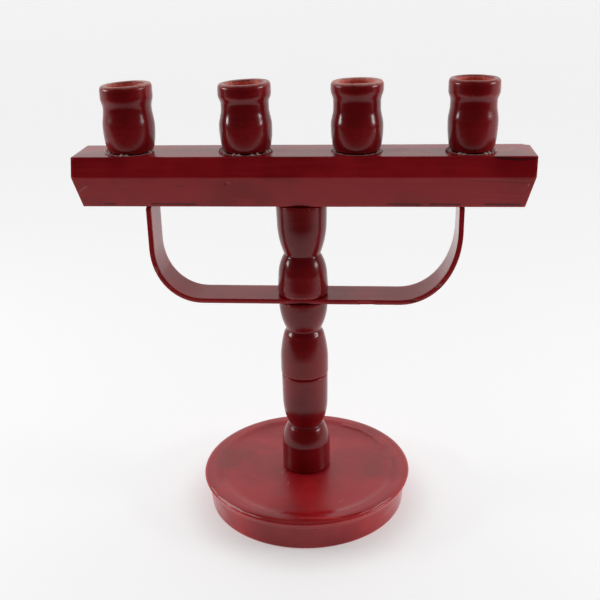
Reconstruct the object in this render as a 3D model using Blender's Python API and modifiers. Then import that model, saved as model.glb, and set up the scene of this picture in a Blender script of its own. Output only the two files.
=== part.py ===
"""Four-cup taper candle holder in painted wood.

A turned dish carries a turned post. The post comes apart at a dry peg in the middle of its barrel,
so the upper half lifts off and turns. A bent strip runs through the post and braces the crossbar,
and four turned cups stand on the crossbar. Metres, +Z up, origin at the centre of the dish's underside.
"""

import math

import bmesh
import bpy

# Clearances
GAP = 0.0003
DOWEL_PLAY = 0.0003

# Base dish
BASE_RADIUS = 0.0671
LIP_RADIUS = 0.0716
SEAT_HEIGHT = 0.0238
SEAT_RADIUS = 0.0185
RIM_HEIGHT = 0.0235
LIP_WIDTH = 0.0070
LIP_DROP = 0.0025
RAMP_WIDTH = 0.0090
DISH_DEPTH = 0.0022
FLOOR_HOLLOW = 0.0003
WALL_HOLLOW = 0.0011
FOOT_EASE = 0.0006

# Turned post, from the dish upwards
FOOT_RADIUS = 0.01645
FOOT_LENGTH = 0.0205
LOW_BEAD_RADIUS = 0.0153
LOW_BEAD_LENGTH = 0.0120
LOW_FLARE_LENGTH = 0.0047
LOW_FLARE_HOLLOW = 0.0003
LOW_NECK_RADIUS = 0.0112
BARREL_TURN_LENGTH = 0.0095
BARREL_TURN_ROUND = 0.0008
LOWER_BARREL_RADIUS = 0.0151
LOWER_BARREL_LENGTH = 0.0379
UPPER_BARREL_RADIUS = 0.0154
UPPER_BARREL_LENGTH = 0.0323
SHOULDER_RADIUS = 0.0132
SHOULDER_DROP = 0.0034
SHOULDER_CURVE = 0.0165
SHOULDER_ROUND = 0.0004
MID_NECK_RADIUS = 0.0114
HALF_BEAD_RADIUS = 0.0158
HALF_BEAD_LENGTH = 0.0208
HALF_BEAD_CURVE = 0.0165
HALF_BEAD_ROUND = 0.0009
TOP_BEAD_RADIUS = 0.0163
TOP_BEAD_LENGTH = 0.0269
TOP_BEAD_CURVE = 0.0148
TOP_BEAD_ROUND = 0.0010
TOP_BEAD_GIRTH = 0.0048
TOP_NECK_RADIUS = 0.0116
BELL_RADIUS = 0.0161
BELL_LENGTH = 0.0335
BELL_CURVE = 0.0185
BELL_ROUND = 0.0008
BELL_SHOULDER_RADIUS = 0.0157
ARRIS_EASE = 0.0005

# Bent brace
BRACE_WIDTH = 0.0259
BRACE_THICKNESS = 0.0033
BRACE_INSET = 0.0424
BRACE_SHIFT = 0.0020
BEND_RUNS = (0.0315, 0.0375)
BEND_RISES = (0.0350, 0.0470)
BEND_FULLNESS = 2.1
TONGUE_WIDTH = 0.0180
TONGUE_LENGTH = 0.0080

# Crossbar
BAR_LENGTH = 0.2812
BAR_DEPTH = 0.0352
BAR_HEIGHT = 0.0321
BAR_BAND = 0.0126
BAR_SIDE_SLANT = 0.0042
BAR_END_SLANT = 0.0049
BAR_EASE = 0.0006

# Candle cups, each one a little different, as turned and set by hand
CUP_INSET = 0.0360
CUP_DRIFTS = (-0.0009, 0.0018, -0.0002, -0.0010)
CUP_GIRTHS = (1.0, 1.01, 1.0, 0.96)
CUP_HEIGHTS = (0.0409, 0.0413, 0.0416, 0.0427)
CUP_FOOT_RADIUS = 0.0128
CUP_BELLY_RADIUS = 0.0160
CUP_BELLY_HEIGHT = 0.0155
CUP_WAIST_RADIUS = 0.0143
CUP_WAIST_HEIGHT = 0.0253
CUP_LIP_RADIUS = 0.0159
CUP_LIP_DROP = 0.0025
CUP_LIP_EDGE = 0.0018
CUP_COLLAR_HEIGHT = 0.0068
CUP_COLLAR_STEP = 0.0052
BORE_RADIUS = 0.0110
BORE_DEPTH = 0.0250
BORE_FLARE = 0.0008

# Hidden dowels
BASE_DOWEL_RADIUS = 0.0060
BASE_DOWEL_IN_DISH = 0.0150
BASE_DOWEL_IN_POST = 0.0180
PEG_RADIUS = 0.0060
PEG_IN_FOOT = 0.0220
PEG_IN_TOP = 0.0180
STEM_DOWEL_RADIUS = 0.0050
STEM_DOWEL_DEPTH = 0.0180
BAR_DOWEL_RADIUS = 0.0050
BAR_DOWEL_IN_POST = 0.0180
BAR_DOWEL_IN_BAR = 0.0160
CUP_DOWEL_RADIUS = 0.0040
CUP_DOWEL_IN_CUP = 0.0110
CUP_DOWEL_IN_BAR = 0.0140
DOWEL_CHAMFER = 0.0008
HOLE_SPARE = 0.0006

# Facets
DISH_STEPS = 56
POST_STEPS = 32
CUP_STEPS = 28
DOWEL_STEPS = 20
CURVE_STEPS = 4

# Heights of the joints between the pieces
LOWER_POST_LENGTH = FOOT_LENGTH + LOW_BEAD_LENGTH + LOWER_BARREL_LENGTH
MIDDLE_POST_LENGTH = UPPER_BARREL_LENGTH + HALF_BEAD_LENGTH
UPPER_POST_LENGTH = TOP_BEAD_LENGTH + BELL_LENGTH
SEAM_Z = SEAT_HEIGHT + GAP + LOWER_POST_LENGTH
MIDDLE_Z = SEAM_Z + GAP
BRACE_Z = MIDDLE_Z + MIDDLE_POST_LENGTH + GAP
UPPER_Z = BRACE_Z + BRACE_THICKNESS + GAP
BAR_Z = UPPER_Z + UPPER_POST_LENGTH + GAP
CUP_Z = BAR_Z + BAR_HEIGHT + GAP


# Outline curves, as lists of (radius, height)

def arc(start, end, bulge, steps=CURVE_STEPS):
    """Points of a shallow arc between two points, which bulges outwards by the given rise."""
    run = end[0] - start[0]
    fall = end[1] - start[1]
    length = math.hypot(run, fall)
    outward = (-fall / length, run / length)
    points = []
    for i in range(1, steps):
        share = i / steps
        rise = bulge * 4 * share * (1 - share)
        points.append((start[0] + run * share + outward[0] * rise,
                       start[1] + fall * share + outward[1] * rise))
    return [start] + points + [end]


def wave(start, end, steps=CURVE_STEPS):
    """Points of an S-curve that leaves both points upright."""
    points = []
    for i in range(steps + 1):
        share = i / steps
        blend = (1 - math.cos(math.pi * share)) / 2
        points.append((start[0] + (end[0] - start[0]) * blend,
                       start[1] + (end[1] - start[1]) * share))
    return points


def ramp(start, end, steps=CURVE_STEPS):
    """Points of an S-curve that leaves both points level."""
    points = []
    for i in range(steps + 1):
        share = i / steps
        blend = (1 - math.cos(math.pi * share)) / 2
        points.append((start[0] + (end[0] - start[0]) * share,
                       start[1] + (end[1] - start[1]) * blend))
    return points


def quarter(start, end, steps=CURVE_STEPS):
    """Points of a quarter ellipse that leaves the first point upright and meets the last one level."""
    points = []
    for i in range(steps + 1):
        angle = math.pi / 2 * i / steps
        points.append((end[0] + (start[0] - end[0]) * math.cos(angle),
                       start[1] + (end[1] - start[1]) * math.sin(angle)))
    return points


def blind_hole(radius, mouth, depth):
    """Outline of a dowel hole, from its mouth's edge to the middle of its floor."""
    wall = radius + DOWEL_PLAY
    floor = mouth + depth
    return [(wall, mouth), (wall, floor), (0.0, floor)]


def join(*runs):
    """One outline from several runs, with each shared end point kept once."""
    outline = []
    for run in runs:
        for point in run:
            if not outline or math.dist(outline[-1], point) > 1e-7:
                outline.append(point)
    return outline


# Collections, materials and placing

def new_collection(name):
    collection = bpy.data.collections.new(name)
    bpy.context.scene.collection.children.link(collection)
    return collection


def clear_scene():
    for item in list(bpy.data.objects):
        bpy.data.objects.remove(item, do_unlink=True)


def wood(name, colour, roughness, coat):
    """A wood or painted-wood finish."""
    material = bpy.data.materials.new(name)
    material.use_nodes = True
    shader = material.node_tree.nodes["Principled BSDF"]
    shader.inputs["Base Color"].default_value = (*colour, 1.0)
    shader.inputs["Roughness"].default_value = roughness
    shader.inputs["Metallic"].default_value = 0.0
    shader.inputs["Coat Weight"].default_value = coat
    return material


def add_piece(name, mesh, material, x=0.0, z=0.0, parent=None):
    """Name a mesh as one piece, give it its finish and put it in its place."""
    piece = bpy.data.objects.new(name, mesh)
    parts.objects.link(piece)
    mesh.materials.append(material)
    piece.location = (x, 0.0, z)
    if parent is not None:
        piece.parent = parent
        piece.location.z -= parent.location.z
    return piece


def add_modifier(piece, kind, **values):
    modifier = piece.modifiers.new(kind.title(), kind)
    for key, value in values.items():
        setattr(modifier, key, value)
    return modifier


def turned(name, outline, steps, material, x=0.0, z=0.0, parent=None):
    """Turn an outline, which runs down its outer side, into one solid of revolution."""
    mesh = bpy.data.meshes.new(name)
    points = [(radius, 0.0, height) for radius, height in outline]
    edges = [(i, i + 1) for i in range(len(points) - 1)]
    mesh.from_pydata(points, edges, [])
    piece = add_piece(name, mesh, material, x, z, parent)
    add_modifier(piece, "SCREW", axis="Z", angle=2 * math.pi, steps=steps, render_steps=steps,
                 use_merge_vertices=True, merge_threshold=0.00001, use_smooth_shade=True)
    return piece


def dowel(name, radius, length, x, z, parent=None):
    """A plain dowel with chamfered ends, standing on z."""
    outline = [(0.0, length), (radius - DOWEL_CHAMFER, length), (radius, length - DOWEL_CHAMFER),
               (radius, DOWEL_CHAMFER), (radius - DOWEL_CHAMFER, 0.0), (0.0, 0.0)]
    return turned(name, outline, DOWEL_STEPS, bare_wood, x, z, parent)


def cut_hole(piece, name, radius, x, low, high):
    """Cut an upright round hole through the heights from low to high."""
    mesh = bmesh.new()
    bmesh.ops.create_cone(mesh, cap_ends=True, segments=DOWEL_STEPS, radius1=radius, radius2=radius,
                          depth=high - low)
    cut(piece, name, mesh, (x, 0.0, (low + high) / 2))


def cut_box(piece, name, size, centre):
    """Cut a box of the given size."""
    mesh = bmesh.new()
    bmesh.ops.create_cube(mesh, size=1.0)
    bmesh.ops.scale(mesh, vec=size, verts=mesh.verts)
    cut(piece, name, mesh, centre)


def cut(piece, name, mesh, centre):
    """Make a bmesh a hidden cutter and subtract it from the piece."""
    data = bpy.data.meshes.new(name)
    mesh.to_mesh(data)
    mesh.free()
    cutter = bpy.data.objects.new(name, data)
    cutters.objects.link(cutter)
    cutter.location = centre
    cutter.hide_render = True
    cutter.display_type = "WIRE"
    add_modifier(piece, "BOOLEAN", operation="DIFFERENCE", object=cutter)


# The pieces

def base_disc():
    """The dish: a raised seat for the post, a sunk floor, a rounded rim and a hollow side below it."""
    crest = (LIP_RADIUS - LIP_WIDTH, RIM_HEIGHT)
    sunk = (crest[0] - RAMP_WIDTH, RIM_HEIGHT - DISH_DEPTH)
    widest = (LIP_RADIUS, RIM_HEIGHT - LIP_DROP)
    socket_wall = BASE_DOWEL_RADIUS + DOWEL_PLAY
    socket_floor = SEAT_HEIGHT - BASE_DOWEL_IN_DISH - HOLE_SPARE
    socket = [(0.0, socket_floor), (socket_wall, socket_floor), (socket_wall, SEAT_HEIGHT)]
    dished = arc((SEAT_RADIUS, SEAT_HEIGHT), sunk, -FLOOR_HOLLOW)
    rise = ramp(sunk, crest, 6)
    lip = quarter(widest, crest, 6)[::-1]
    side = arc(widest, (BASE_RADIUS, FOOT_EASE), -WALL_HOLLOW, 8)
    foot = [(BASE_RADIUS - FOOT_EASE, 0.0), (0.0, 0.0)]
    outline = join(socket, dished, rise, lip, side, foot)
    return turned("base_disc", outline, DISH_STEPS, red_paint)


def lower_post():
    """Foot cylinder, flared bead, neck and the lower half of the barrel, bored at both ends."""
    top = LOWER_POST_LENGTH
    neck = FOOT_LENGTH + LOW_BEAD_LENGTH
    girth = (LOW_BEAD_RADIUS, FOOT_LENGTH + LOW_FLARE_LENGTH)
    peg_wall = PEG_RADIUS + DOWEL_PLAY
    peg_floor = top - PEG_IN_FOOT - HOLE_SPARE
    socket = [(0.0, peg_floor), (peg_wall, peg_floor), (peg_wall, top)]
    barrel_top = (LOWER_BARREL_RADIUS, top - ARRIS_EASE)
    barrel = [(LOWER_BARREL_RADIUS - ARRIS_EASE, top), barrel_top]
    turn = arc((LOWER_BARREL_RADIUS, neck + BARREL_TURN_LENGTH), (LOW_NECK_RADIUS, neck), BARREL_TURN_ROUND)
    bead = quarter(girth, (LOW_NECK_RADIUS, neck))[::-1]
    flare = arc(girth, (FOOT_RADIUS - ARRIS_EASE, FOOT_LENGTH), -LOW_FLARE_HOLLOW)
    foot = [(FOOT_RADIUS, FOOT_LENGTH - ARRIS_EASE), (FOOT_RADIUS, ARRIS_EASE), (FOOT_RADIUS - ARRIS_EASE, 0.0)]
    hole = blind_hole(BASE_DOWEL_RADIUS, 0.0, BASE_DOWEL_IN_POST + HOLE_SPARE)
    outline = join(socket, barrel, turn, bead, flare, foot, hole)
    return turned("lower_post", outline, POST_STEPS, red_paint, z=SEAT_HEIGHT + GAP)


def middle_post(pivot):
    """The upper half of the barrel, a neck and the half bead under the brace, bored at both ends."""
    top = MIDDLE_POST_LENGTH
    neck = UPPER_BARREL_LENGTH
    dowel_wall = STEM_DOWEL_RADIUS + DOWEL_PLAY
    dowel_floor = top - STEM_DOWEL_DEPTH - HOLE_SPARE
    socket = [(0.0, dowel_floor), (dowel_wall, dowel_floor), (dowel_wall, top)]
    edge = [(HALF_BEAD_RADIUS - ARRIS_EASE, top), (HALF_BEAD_RADIUS, top - ARRIS_EASE)]
    bead = arc((HALF_BEAD_RADIUS, neck + HALF_BEAD_CURVE), (MID_NECK_RADIUS, neck), HALF_BEAD_ROUND)
    shoulder = (SHOULDER_RADIUS, neck - SHOULDER_DROP)
    curve = arc(shoulder, (UPPER_BARREL_RADIUS, shoulder[1] - SHOULDER_CURVE), SHOULDER_ROUND)
    foot = [(UPPER_BARREL_RADIUS, ARRIS_EASE), (UPPER_BARREL_RADIUS - ARRIS_EASE, 0.0)]
    hole = blind_hole(PEG_RADIUS, 0.0, PEG_IN_TOP + HOLE_SPARE)
    outline = join(socket, edge, bead, curve, foot, hole)
    return turned("middle_post", outline, POST_STEPS, red_paint, z=MIDDLE_Z, parent=pivot)


def upper_post(pivot):
    """The bead above the brace, a neck and the bell that carries the crossbar, bored at both ends."""
    top = UPPER_POST_LENGTH
    neck = TOP_BEAD_LENGTH
    dowel_wall = BAR_DOWEL_RADIUS + DOWEL_PLAY
    dowel_floor = top - BAR_DOWEL_IN_POST - HOLE_SPARE
    socket = [(0.0, dowel_floor), (dowel_wall, dowel_floor), (dowel_wall, top)]
    edge = [(BELL_RADIUS - ARRIS_EASE, top), (BELL_RADIUS, top - 2 * ARRIS_EASE)]
    bell = arc((BELL_SHOULDER_RADIUS, neck + BELL_CURVE), (TOP_NECK_RADIUS, neck), BELL_ROUND)
    shoulder = (TOP_BEAD_RADIUS - ARRIS_EASE, neck - TOP_BEAD_CURVE)
    bead = arc((TOP_NECK_RADIUS, neck), shoulder, TOP_BEAD_ROUND)
    girth = (TOP_BEAD_RADIUS, TOP_BEAD_GIRTH)
    foot = [girth, (TOP_BEAD_RADIUS, 2 * ARRIS_EASE), (TOP_BEAD_RADIUS - ARRIS_EASE, 0.0)]
    hole = blind_hole(STEM_DOWEL_RADIUS, 0.0, STEM_DOWEL_DEPTH + HOLE_SPARE)
    outline = join(socket, edge, bell, bead, foot, hole)
    return turned("upper_post", outline, POST_STEPS, red_paint, z=UPPER_Z, parent=pivot)


def bend(run, rise):
    """Points of one bend of the brace, from the end of its level run up to its leg, as (run, rise)."""
    steps = 3 * CURVE_STEPS
    power = 2 / BEND_FULLNESS
    points = []
    for i in range(steps + 1):
        angle = math.pi / 2 * i / steps
        points.append((run * math.sin(angle) ** power, rise * (1 - max(0.0, math.cos(angle)) ** power)))
    return points


def brace_route():
    """Centre line of the brace as (x, z), from the tip of its left tongue to the tip of its right one."""
    reach = BAR_LENGTH / 2 - BRACE_INSET - BRACE_THICKNESS / 2
    level = BRACE_Z + BRACE_THICKNESS / 2
    shoulder = BAR_Z - GAP
    tip = BAR_Z + TONGUE_LENGTH
    halves = []
    for side, run, rise in zip((-1, 1), BEND_RUNS, BEND_RISES):
        bends = [(side * (reach - run + out), level + up) for out, up in bend(run, rise)]
        leg = [(side * reach, shoulder), (side * reach, tip)]
        halves.append([(0.0, level)] + bends + leg)
    left, right = halves
    route = left[:0:-1] + right
    return [(x + BRACE_SHIFT if abs(x) > GAP else x, z) for x, z in route]


def brace_strip(pivot):
    """A flat strip with a tongue at each end, bent up to the crossbar, with the stem dowel's hole."""
    route = brace_route()
    last = len(route) - 1
    columns = (-BRACE_WIDTH / 2, -TONGUE_WIDTH / 2, TONGUE_WIDTH / 2, BRACE_WIDTH / 2)
    sheet = bmesh.new()
    bmesh.ops.create_grid(sheet, x_segments=last, y_segments=3, size=1)
    corners = []
    for face in sheet.faces:
        centre = face.calc_center_median()
        at_end = abs(centre.x) > 1 - 2 / last
        at_side = abs(centre.y) > 1 / 3
        if at_end and at_side:
            corners.append(face)
    bmesh.ops.delete(sheet, geom=corners, context="FACES")
    for vertex in sheet.verts:
        along = round((vertex.co.x + 1) * last / 2)
        across = round((vertex.co.y + 1) * 3 / 2)
        x, z = route[along]
        vertex.co = (x, columns[across], z - SEAM_Z)
    bmesh.ops.recalc_face_normals(sheet, faces=sheet.faces)
    mesh = bpy.data.meshes.new("brace_strip")
    sheet.to_mesh(mesh)
    sheet.free()
    piece = add_piece("brace_strip", mesh, red_paint, z=SEAM_Z, parent=pivot)
    add_modifier(piece, "SOLIDIFY", thickness=BRACE_THICKNESS, offset=0.0, use_even_offset=True)
    radius = STEM_DOWEL_RADIUS + DOWEL_PLAY
    cut_hole(piece, "brace_hole", radius, 0.0, BRACE_Z - BRACE_THICKNESS, BRACE_Z + 2 * BRACE_THICKNESS)
    return piece


def cup_places():
    """Middle of each cup along the crossbar: an even pitch and the drift of each hand-drilled hole."""
    first = -BAR_LENGTH / 2 + CUP_INSET
    pitch = (BAR_LENGTH - 2 * CUP_INSET) / (len(CUP_DRIFTS) - 1)
    return [first + pitch * i + drift for i, drift in enumerate(CUP_DRIFTS)]


def crossbar(pivot):
    """A bar with an upright band above sides and ends that slant in, mortised and drilled."""
    block = bmesh.new()
    bmesh.ops.create_cube(block, size=1.0)
    bmesh.ops.scale(block, vec=(BAR_LENGTH, BAR_DEPTH, BAR_HEIGHT), verts=block.verts)
    bmesh.ops.translate(block, vec=(0.0, 0.0, BAR_HEIGHT / 2), verts=block.verts)
    everything = block.verts[:] + block.edges[:] + block.faces[:]
    bmesh.ops.bisect_plane(block, geom=everything, plane_co=(0, 0, BAR_HEIGHT - BAR_BAND), plane_no=(0, 0, 1))
    for vertex in block.verts:
        if vertex.co.z < GAP:
            vertex.co.x -= math.copysign(BAR_END_SLANT, vertex.co.x)
            vertex.co.y -= math.copysign(BAR_SIDE_SLANT, vertex.co.y)
    mesh = bpy.data.meshes.new("crossbar")
    block.to_mesh(mesh)
    block.free()
    piece = add_piece("crossbar", mesh, red_paint, z=BAR_Z, parent=pivot)
    add_modifier(piece, "BEVEL", width=BAR_EASE, segments=2, limit_method="ANGLE", angle_limit=math.radians(30))
    top = BAR_Z + BAR_HEIGHT
    for number, x in enumerate(cup_places(), start=1):
        floor = top - CUP_DOWEL_IN_BAR - HOLE_SPARE
        cut_hole(piece, f"cup_hole_{number}", CUP_DOWEL_RADIUS + DOWEL_PLAY, x, floor, top + BAR_HEIGHT)
    ceiling = BAR_Z + BAR_DOWEL_IN_BAR + HOLE_SPARE
    cut_hole(piece, "post_hole", BAR_DOWEL_RADIUS + DOWEL_PLAY, 0.0, BAR_Z - BAR_HEIGHT, ceiling)
    route = brace_route()
    for side, end in (("left", route[0]), ("right", route[-1])):
        size = (BRACE_THICKNESS + 2 * GAP, TONGUE_WIDTH + 2 * GAP, 2 * (TONGUE_LENGTH + HOLE_SPARE))
        cut_box(piece, f"mortise_{side}", size, (end[0], 0.0, BAR_Z))
    return piece


def candle_cup(number, x, girth, height, pivot):
    """A turned cup: rounded foot, belly, waist and a collar with a rounded lip round the candle's bore."""
    foot = CUP_FOOT_RADIUS * girth
    belly = CUP_BELLY_RADIUS * girth
    waist = CUP_WAIST_RADIUS * girth
    lip = CUP_LIP_RADIUS * girth
    floor = height - BORE_DEPTH
    mouth = BORE_RADIUS + BORE_FLARE
    bore = [(0.0, floor), (BORE_RADIUS, floor), (BORE_RADIUS, height - 2 * BORE_FLARE), (mouth, height)]
    crown = quarter((lip, height - CUP_LIP_DROP), (lip - CUP_LIP_EDGE, height), 4)[::-1]
    collar = height - CUP_COLLAR_HEIGHT
    step = wave((lip, collar), (waist, collar - CUP_COLLAR_STEP))
    swell = wave((waist, CUP_WAIST_HEIGHT), (belly, CUP_BELLY_HEIGHT))
    heel = quarter((belly, CUP_BELLY_HEIGHT), (foot, 0.0), 5)
    hole = blind_hole(CUP_DOWEL_RADIUS, 0.0, CUP_DOWEL_IN_CUP + HOLE_SPARE)
    outline = join(bore, crown, step, swell, heel, hole)
    return turned(f"candle_cup_{number}", outline, CUP_STEPS, red_paint, x, CUP_Z, pivot)


def cup_dowel(number, x, pivot):
    """The dowel that holds one cup on the crossbar."""
    low = CUP_Z - GAP - CUP_DOWEL_IN_BAR
    length = CUP_DOWEL_IN_BAR + GAP + CUP_DOWEL_IN_CUP
    return dowel(f"cup_dowel_{number}", CUP_DOWEL_RADIUS, length, x, low, pivot)


def build():
    """Build every piece: the foot, the loose peg, and the upper half on its pivot."""
    pivot = bpy.data.objects.new("upper_half_pivot", None)
    parts.objects.link(pivot)
    pivot.location = (0.0, 0.0, SEAM_Z)

    base_disc()
    base_dowel_z = SEAT_HEIGHT - BASE_DOWEL_IN_DISH
    dowel("base_dowel", BASE_DOWEL_RADIUS, BASE_DOWEL_IN_DISH + GAP + BASE_DOWEL_IN_POST, 0.0, base_dowel_z)
    lower_post()
    dowel("post_peg", PEG_RADIUS, PEG_IN_FOOT + GAP + PEG_IN_TOP, 0.0, SEAM_Z - PEG_IN_FOOT)

    middle_post(pivot)
    stem_dowel_z = BRACE_Z - GAP - STEM_DOWEL_DEPTH
    stem_dowel_length = 2 * STEM_DOWEL_DEPTH + BRACE_THICKNESS + 2 * GAP
    dowel("stem_dowel", STEM_DOWEL_RADIUS, stem_dowel_length, 0.0, stem_dowel_z, pivot)
    brace_strip(pivot)
    upper_post(pivot)
    bar_dowel_z = BAR_Z - GAP - BAR_DOWEL_IN_POST
    bar_dowel_length = BAR_DOWEL_IN_POST + GAP + BAR_DOWEL_IN_BAR
    dowel("crossbar_dowel", BAR_DOWEL_RADIUS, bar_dowel_length, 0.0, bar_dowel_z, pivot)
    crossbar(pivot)

    sizes = zip(cup_places(), CUP_GIRTHS, CUP_HEIGHTS)
    for number, (x, girth, height) in enumerate(sizes, start=1):
        candle_cup(number, x, girth, height, pivot)
        cup_dowel(number, x, pivot)


clear_scene()
parts = new_collection("taper_candle_holder")
cutters = new_collection("cutters")
red_paint = wood("red_paint", (0.22, 0.012, 0.016), 0.28, 0.5)
bare_wood = wood("bare_wood", (0.55, 0.36, 0.20), 0.65, 0.0)
build()
bpy.context.view_layer.update()
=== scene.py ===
import math

import bmesh
import bpy
import numpy as np
from mathutils import Matrix, Vector, noise


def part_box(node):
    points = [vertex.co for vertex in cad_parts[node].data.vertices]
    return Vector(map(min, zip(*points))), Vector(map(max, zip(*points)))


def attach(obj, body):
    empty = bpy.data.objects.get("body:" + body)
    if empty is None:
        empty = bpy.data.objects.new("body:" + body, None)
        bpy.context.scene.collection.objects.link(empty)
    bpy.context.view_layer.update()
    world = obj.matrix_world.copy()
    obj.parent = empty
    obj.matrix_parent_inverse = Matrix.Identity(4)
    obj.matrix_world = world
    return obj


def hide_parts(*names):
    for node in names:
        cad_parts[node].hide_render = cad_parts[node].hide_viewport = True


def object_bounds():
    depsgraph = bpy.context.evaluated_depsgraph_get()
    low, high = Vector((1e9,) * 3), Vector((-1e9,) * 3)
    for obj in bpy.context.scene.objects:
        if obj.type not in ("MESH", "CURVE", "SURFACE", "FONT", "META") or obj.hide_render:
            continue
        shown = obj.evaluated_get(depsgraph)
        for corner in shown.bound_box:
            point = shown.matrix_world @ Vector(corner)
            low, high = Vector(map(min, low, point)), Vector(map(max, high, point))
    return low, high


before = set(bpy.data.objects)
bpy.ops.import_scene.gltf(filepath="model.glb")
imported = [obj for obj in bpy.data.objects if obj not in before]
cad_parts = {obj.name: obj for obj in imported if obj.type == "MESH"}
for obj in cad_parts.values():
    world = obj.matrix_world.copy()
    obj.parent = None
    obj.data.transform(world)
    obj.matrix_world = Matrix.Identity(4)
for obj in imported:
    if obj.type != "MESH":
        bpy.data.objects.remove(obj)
cad_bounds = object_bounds()

# Sizes of the turned outlines, in metres, some fitted more closely than in the construction

# Dish. The undercut is how far the side wall starts inside and below the lip's widest part
BASE_RADIUS = 0.0671
RIM_DROP = 0.0003
LIP_WIDTH = 0.0070
LIP_DROP = 0.0025
RAMP_WIDTH = 0.0090
DISH_DEPTH = 0.0018
SEAT_RADIUS = 0.0185
FLOOR_HOLLOW = 0.0003
WALL_HOLLOW = 0.0002
UNDERCUT = (0.0027, 0.0036)
UNDERCUT_HOLLOW = 0.00006
FOOT_EASE = 0.0006
# How wide the edge is where the dull floor turns glossy
DULL_EDGE = 0.004

# Post. The low bead's shoulder is a radius and a depth below the neck, and the leans, in degrees, and
# the pulls shape its curve at both ends
FOOT_LENGTH = 0.0205
LOW_BEAD_LENGTH = 0.0120
LOW_BEAD_SHOULDER = (0.0124, 0.0011)
LOW_BEAD_LEANS = (59, 81)
LOW_BEAD_PULLS = (0.0036, 0.0040)
LOW_NECK_RADIUS = 0.0112
BARREL_TURN_LENGTH = 0.0080
BARREL_TURN_RADIUS = 0.0141
BARREL_TURN_ROUND = 0.0002
BARREL_CREASE_LENGTH = 0.0152
BARREL_CREASE_RADIUS = 0.0151
BARREL_ROUND = 0.0001
LOWER_BARREL_RADIUS = 0.0154
UPPER_BARREL_RADIUS = 0.0158
UPPER_BARREL_LENGTH = 0.0323
SHOULDER_RADIUS = 0.0132
SHOULDER_DROP = 0.0034
SHOULDER_CURVE = 0.0165
SHOULDER_ROUND = 0.0004
MID_NECK_RADIUS = 0.0114
HALF_BEAD_CURVE = 0.0165
HALF_BEAD_ROUND = 0.0009
TOP_BEAD_LENGTH = 0.0269
TOP_BEAD_CURVE = 0.0148
TOP_BEAD_ROUND = 0.0010
TOP_BEAD_GIRTH = 0.0048
TOP_NECK_RADIUS = 0.0116
BELL_RADIUS = 0.0161
BELL_CURVE = 0.0185
BELL_ROUND = 0.0008
BELL_SHOULDER_RADIUS = 0.0157
ARRIS_EASE = 0.0005

# Cups
CUP_FOOT_SHARE = 0.82
CUP_LIP_DROP = 0.0025
CUP_LIP_EDGE = 0.0018
RIM_WEAR = 0.0022
BORE_RADIUS = 0.0110
BORE_DEPTH = 0.0250
BORE_FLARE = 0.0008

# Dowel holes: of the dish and the peg, of the other post dowels and of the cups
SOCKET_RADIUS = 0.0063
SOCKET_FLOOR = 0.0082
PEG_HOLE_DEPTH = 0.0226
DOWEL_HOLE_RADIUS = 0.0053
DOWEL_HOLE_DEPTH = 0.0186
CUP_HOLE_RADIUS = 0.0043
CUP_HOLE_DEPTH = 0.0116

# Each hand-turned cup: how far its rim slopes up to its right, the heights of its collar and of the step
# under it, its waist as a share of its collar, the heights where the waist ends and where the belly is
# widest, its belly as a share of its collar, how worn its rim is, and the angle and size of each blob of
# glue at its foot
CUPS = (
    (0.044, 0.0078, 0.0062, 0.925, 0.0268, 0.0155, 1.00, 0.70,
     ((196, 0.0015), (207, 0.0012), (222, 0.0008), (262, 0.0009), (272, 0.0006), (334, 0.0013),
      (346, 0.0010))),
    (0.038, 0.0072, 0.0050, 0.905, 0.0262, 0.0150, 1.01, 0.58,
     ((190, 0.0018), (201, 0.0016), (214, 0.0012), (247, 0.0010), (258, 0.0009), (290, 0.0009),
      (303, 0.0010), (330, 0.0012), (341, 0.0016), (352, 0.0014))),
    (0.015, 0.0050, 0.0068, 0.900, 0.0256, 0.0150, 1.00, 0.85,
     ((188, 0.0011), (202, 0.0008), (330, 0.0010), (344, 0.0013), (355, 0.0010))),
    (0.000, 0.0080, 0.0050, 0.908, 0.0272, 0.0175, 0.98, 0.52,
     ((190, 0.0017), (202, 0.0014), (236, 0.0009), (246, 0.0006), (299, 0.0010), (310, 0.0010),
      (334, 0.0014), (348, 0.0012))),
)

# Facets
PROFILE_STEP = 0.00055
ROUND_STEPS = 96
DISH_PROFILE_STEP = 0.0008
DISH_ROUND_STEPS = 288

# Unevenness from hand work: how deep it goes and how large its features are
DISH_WEAR = (0.00010, 0.018)
DISH_PITS = (0.00005, 0.005)
POST_WEAR = (0.00006, 0.012)
CUP_WEAR = (0.00014, 0.009)
BAR_WEAR = (0.00010, 0.030)
BRACE_WEAR = (0.00010, 0.020)


# Outline curves, as lists of (radius, height)

def arc(start, end, bulge, steps=16):
    """Points of a shallow arc between two points, which bulges outwards by the given rise."""
    run = end[0] - start[0]
    fall = end[1] - start[1]
    length = math.hypot(run, fall)
    points = []
    for i in range(steps + 1):
        share = i / steps
        rise = bulge * 4 * share * (1 - share) / length
        points.append((start[0] + run * share - fall * rise, start[1] + fall * share + run * rise))
    return points


def wave(start, end, steps=16):
    """Points of an S-curve that leaves both points upright."""
    points = []
    for i in range(steps + 1):
        share = i / steps
        blend = (1 - math.cos(math.pi * share)) / 2
        points.append((start[0] + (end[0] - start[0]) * blend, start[1] + (end[1] - start[1]) * share))
    return points


def ramp(start, end, steps=16):
    """Points of an S-curve that leaves both points level."""
    return [(radius, height) for height, radius in wave(start[::-1], end[::-1], steps)]


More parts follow.
